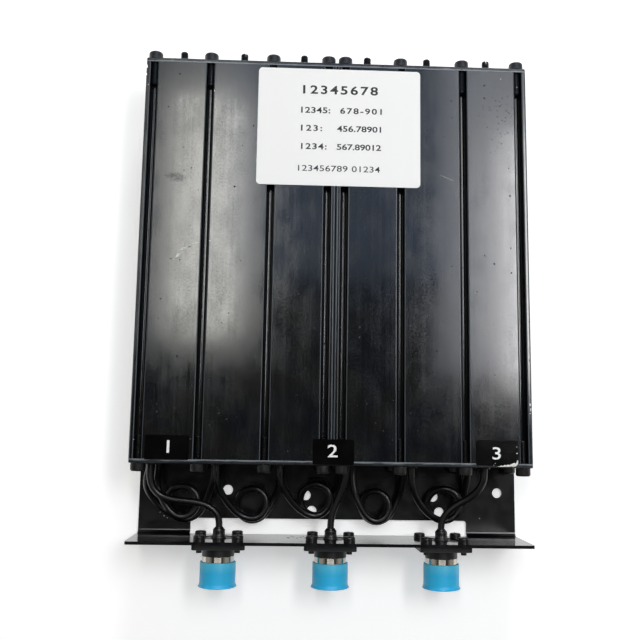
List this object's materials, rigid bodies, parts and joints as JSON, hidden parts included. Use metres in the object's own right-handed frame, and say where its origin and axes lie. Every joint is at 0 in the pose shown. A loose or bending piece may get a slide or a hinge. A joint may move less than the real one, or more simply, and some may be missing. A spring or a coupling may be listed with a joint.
{
  "type": "rf duplexer",
  "caption": "Flat finned black cavity duplexer with slotted tuning screws, looped coaxial jumper cables, a folded mounting bracket and threaded coaxial ports under pull-off caps.",
  "frame": {"origin": "centre of the bounding box's underside, on the bracket's back face, on which the unit lies", "axes": "+Y towards the tuning screws, -Y towards the coaxial ports, +Z out of the labelled front face, +X to the right seen from the front with the tuning screws up"},
  "size_m": [0.194, 0.2736, 0.0367],
  "materials": {
    "black_satin_enamel": "satin black enamel on extruded aluminium",
    "black_plate_enamel": "black enamel on aluminium plate",
    "black_oxide_steel": "black oxide on steel",
    "black_gloss_sheet": "gloss black enamel on folded sheet steel",
    "black_bush_plastic": "moulded black plastic",
    "plated_steel": "zinc plate",
    "silvered_copper": "silver plate on copper strip",
    "bare_aluminium": "turned aluminium",
    "brass": "turned brass",
    "nickel_plate": "nickel plate, flange and first threads painted black",
    "black_sleeve": "black heat-shrink sleeve",
    "blue_cap_plastic": "soft translucent blue plastic",
    "black_tag_film": "black laminated tape",
    "black_cable_jacket": "smooth black cable jacket",
    "white_insulator": "white fluoropolymer",
    "gilt_brass": "gold plate on brass",
    "white_label_film": "satin white label film"
  },
  "bodies": {
    "housing": {"left_extrusion": "black_satin_enamel", "right_extrusion": "black_satin_enamel", "tuning_end_plate": "black_plate_enamel", "connector_end_plate": "black_plate_enamel", "tuning_end_screws": "black_oxide_steel", "connector_end_screws": "black_oxide_steel", "bracket_screws": "black_oxide_steel", "rod_screws": "black_oxide_steel", "connector_screws": "black_oxide_steel", "mounting_bracket": "black_gloss_sheet", "feed_bushes": "black_bush_plastic", "lock_nuts": "plated_steel", "coupling_loop_1": "silvered_copper", "resonator_rod_1": "bare_aluminium", "coupling_loop_2": "silvered_copper", "resonator_rod_2": "bare_aluminium", "coupling_loop_3": "silvered_copper", "resonator_rod_3": "bare_aluminium", "coupling_loop_4": "silvered_copper", "resonator_rod_4": "bare_aluminium", "coupling_loop_5": "silvered_copper", "resonator_rod_5": "bare_aluminium", "coupling_loop_6": "silvered_copper", "resonator_rod_6": "bare_aluminium", "connector_1": "nickel_plate", "cable_boot_1": "black_sleeve", "port_tag_1": "black_tag_film", "lead_1": "black_cable_jacket", "connector_2": "nickel_plate", "cable_boot_2": "black_sleeve", "port_tag_2": "black_tag_film", "lead_2": "black_cable_jacket", "connector_3": "nickel_plate", "cable_boot_3": "black_sleeve", "port_tag_3": "black_tag_film", "lead_3": "black_cable_jacket", "connector_insulators": "white_insulator", "contact_pins": "gilt_brass", "label": "white_label_film", "stub_cable": "black_cable_jacket", "loop_cable_1": "black_cable_jacket", "loop_cable_2": "black_cable_jacket", "loop_cable_3": "black_cable_jacket", "loop_cable_4": "black_cable_jacket", "loop_cable_5": "black_cable_jacket"},
    "plunger_1": {"tuning_plunger_1": "brass"},
    "tuner_1": {"tuning_screw_1": "black_oxide_steel"},
    "plunger_2": {"tuning_plunger_2": "brass"},
    "tuner_2": {"tuning_screw_2": "black_oxide_steel"},
    "plunger_3": {"tuning_plunger_3": "brass"},
    "tuner_3": {"tuning_screw_3": "black_oxide_steel"},
    "plunger_4": {"tuning_plunger_4": "brass"},
    "tuner_4": {"tuning_screw_4": "black_oxide_steel"},
    "plunger_5": {"tuning_plunger_5": "brass"},
    "tuner_5": {"tuning_screw_5": "black_oxide_steel"},
    "plunger_6": {"tuning_plunger_6": "brass"},
    "tuner_6": {"tuning_screw_6": "black_oxide_steel"},
    "cap_1": {"dust_cap_1": "blue_cap_plastic"},
    "cap_2": {"dust_cap_2": "blue_cap_plastic"},
    "cap_3": {"dust_cap_3": "blue_cap_plastic"}
  },
  "joints": [
    {"name": "tuner_1_travel", "type": "slide", "parent": "housing", "child": "plunger_1", "axis": [0, 1, 0], "range_m": [-0.0021, 0.0021]},
    {"name": "tuner_1_turn", "type": "hinge", "parent": "plunger_1", "child": "tuner_1", "pos_m": [-0.0804, 0.12, 0.01875], "axis": [0, 1, 0], "range_deg": [-1080, 1080]},
    {"name": "tuner_2_travel", "type": "slide", "parent": "housing", "child": "plunger_2", "axis": [0, 1, 0], "range_m": [-0.0021, 0.0021]},
    {"name": "tuner_2_turn", "type": "hinge", "parent": "plunger_2", "child": "tuner_2", "pos_m": [-0.0486, 0.12, 0.01875], "axis": [0, 1, 0], "range_deg": [-1080, 1080]},
    {"name": "tuner_3_travel", "type": "slide", "parent": "housing", "child": "plunger_3", "axis": [0, 1, 0], "range_m": [-0.0021, 0.0021]},
    {"name": "tuner_3_turn", "type": "hinge", "parent": "plunger_3", "child": "tuner_3", "pos_m": [-0.0168, 0.12, 0.01875], "axis": [0, 1, 0], "range_deg": [-1080, 1080]},
    {"name": "tuner_4_travel", "type": "slide", "parent": "housing", "child": "plunger_4", "axis": [0, 1, 0], "range_m": [-0.0021, 0.0021]},
    {"name": "tuner_4_turn", "type": "hinge", "parent": "plunger_4", "child": "tuner_4", "pos_m": [0.0168, 0.12, 0.01875], "axis": [0, 1, 0], "range_deg": [-1080, 1080]},
    {"name": "tuner_5_travel", "type": "slide", "parent": "housing", "child": "plunger_5", "axis": [0, 1, 0], "range_m": [-0.0021, 0.0021]},
    {"name": "tuner_5_turn", "type": "hinge", "parent": "plunger_5", "child": "tuner_5", "pos_m": [0.0486, 0.12, 0.01875], "axis": [0, 1, 0], "range_deg": [-1080, 1080]},
    {"name": "tuner_6_travel", "type": "slide", "parent": "housing", "child": "plunger_6", "axis": [0, 1, 0], "range_m": [-0.0021, 0.0021]},
    {"name": "tuner_6_turn", "type": "hinge", "parent": "plunger_6", "child": "tuner_6", "pos_m": [0.0804, 0.12, 0.01875], "axis": [0, 1, 0], "range_deg": [-1080, 1080]},
    {"name": "cap_1_pull", "type": "slide", "parent": "housing", "child": "cap_1", "axis": [0, -1, 0], "range_m": [0, 0.03]},
    {"name": "cap_2_pull", "type": "slide", "parent": "housing", "child": "cap_2", "axis": [0, -1, 0], "range_m": [0, 0.03]},
    {"name": "cap_3_pull", "type": "slide", "parent": "housing", "child": "cap_3", "axis": [0, -1, 0], "range_m": [0, 0.03]}
  ],
  "couplings": [
    {"joint": "tuner_1_turn", "follows": "tuner_1_travel", "rad_per_m": 8976},
    {"joint": "tuner_2_turn", "follows": "tuner_2_travel", "rad_per_m": 8976},
    {"joint": "tuner_3_turn", "follows": "tuner_3_travel", "rad_per_m": 8976},
    {"joint": "tuner_4_turn", "follows": "tuner_4_travel", "rad_per_m": 8976},
    {"joint": "tuner_5_turn", "follows": "tuner_5_travel", "rad_per_m": 8976},
    {"joint": "tuner_6_turn", "follows": "tuner_6_travel", "rad_per_m": 8976}
  ]
}
